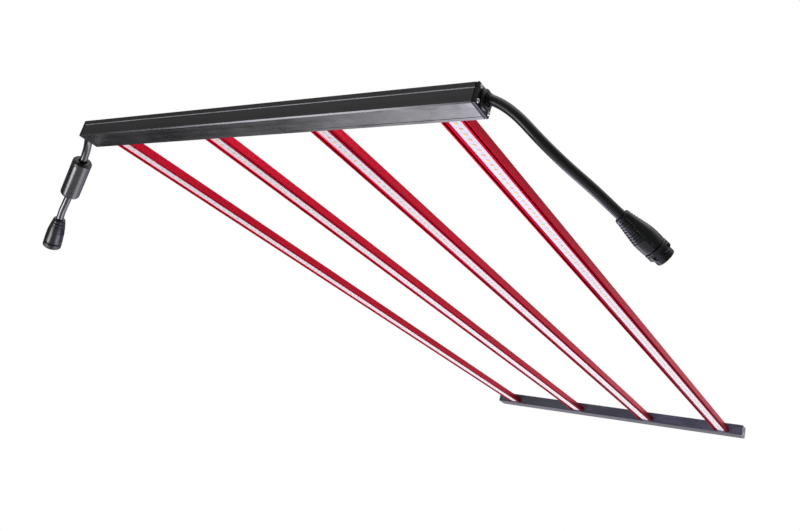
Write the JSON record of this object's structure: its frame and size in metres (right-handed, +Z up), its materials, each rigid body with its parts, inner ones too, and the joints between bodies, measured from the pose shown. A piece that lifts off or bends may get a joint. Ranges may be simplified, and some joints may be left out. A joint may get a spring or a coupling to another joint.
{
  "type": "led grow light",
  "caption": "Flat LED grow light: slim driver housing, finned red light bars with chip rows underneath, far cross rail, and two short cords with locking round connectors.",
  "frame": {"origin": "middle of the driver housing's flat top face, where the light is hung", "axes": "+Z up, away from the plants; +Y from the driver housing along the light bars to the cross rail; +X along the driver housing towards the end with the longer cord"},
  "size_m": [0.7994, 1.209, 0.1281],
  "materials": {
    "black_anodised": "black anodised extrusion, satin",
    "red_anodised": "deep red anodised extrusion with fine lengthwise ribs",
    "white_board": "white solder mask on a light board, carrying rows of small yellow light chips",
    "black_rubber": "black rubber, matt",
    "black_plastic": "black moulded plastic, satin",
    "bright_steel": "bright stainless steel screws",
    "green_board": "green circuit board",
    "copper_tape": "yellow winding tape round a wound part",
    "dark_ferrite": "sintered ferrite, dark grey",
    "lead_sleeve": "red insulated leads"
  },
  "bodies": {
    "frame": {"driver_housing": "black_anodised", "end_plate_left": "black_anodised", "end_gasket_left": "black_rubber", "end_screw_left_1": "bright_steel", "end_screw_left_2": "bright_steel", "end_screw_left_3": "bright_steel", "end_screw_left_4": "bright_steel", "end_plate_right": "black_anodised", "end_gasket_right": "black_rubber", "end_screw_right_1": "bright_steel", "end_screw_right_2": "bright_steel", "end_screw_right_3": "bright_steel", "end_screw_right_4": "bright_steel", "driver_board": "green_board", "driver_transformer": "copper_tape", "driver_capacitor": "black_plastic", "gland_body_right": "black_plastic", "gland_seal_right": "black_rubber", "gland_elbow_left": "black_plastic", "bar_heatsink_1": "red_anodised", "led_board_1": "white_board", "bar_seal_1": "black_rubber", "bar_lead_1": "lead_sleeve", "driver_bolt_1": "bright_steel", "rail_bolt_1": "bright_steel", "bar_heatsink_2": "red_anodised", "led_board_2": "white_board", "bar_seal_2": "black_rubber", "bar_lead_2": "lead_sleeve", "driver_bolt_2": "bright_steel", "rail_bolt_2": "bright_steel", "bar_heatsink_3": "red_anodised", "led_board_3": "white_board", "bar_seal_3": "black_rubber", "bar_lead_3": "lead_sleeve", "driver_bolt_3": "bright_steel", "rail_bolt_3": "bright_steel", "bar_heatsink_4": "red_anodised", "led_board_4": "white_board", "bar_seal_4": "black_rubber", "bar_lead_4": "lead_sleeve", "driver_bolt_4": "bright_steel", "rail_bolt_4": "bright_steel", "cross_rail": "black_anodised", "rail_cap_left": "black_plastic", "rail_cap_right": "black_plastic", "rail_cap_screw_left": "bright_steel", "rail_cap_screw_right": "bright_steel", "cord_right": "black_rubber", "connector_right_body": "black_plastic", "connector_right_insert": "black_plastic", "cord_left": "black_rubber", "ferrite_shell": "black_plastic", "ferrite_cap": "black_plastic", "ferrite_core": "dark_ferrite", "connector_left_body": "black_plastic", "connector_left_insert": "black_plastic"},
    "lock_ring_right": {"connector_right_ring": "black_plastic"},
    "lock_ring_left": {"connector_left_ring": "black_plastic"}
  },
  "joints": [
    {"name": "lock_ring_right_turn", "type": "hinge", "parent": "frame", "child": "lock_ring_right", "pos_m": [0.39102, 0.10157, -0.09642], "axis": [0.5984, 0.6802, -0.4235], "range_deg": [0, 45]},
    {"name": "lock_ring_left_turn", "type": "hinge", "parent": "frame", "child": "lock_ring_left", "pos_m": [-0.3851, 0.08053, -0.11844], "axis": [-0.5323, 0.4075, -0.742], "range_deg": [0, 45]}
  ]
}
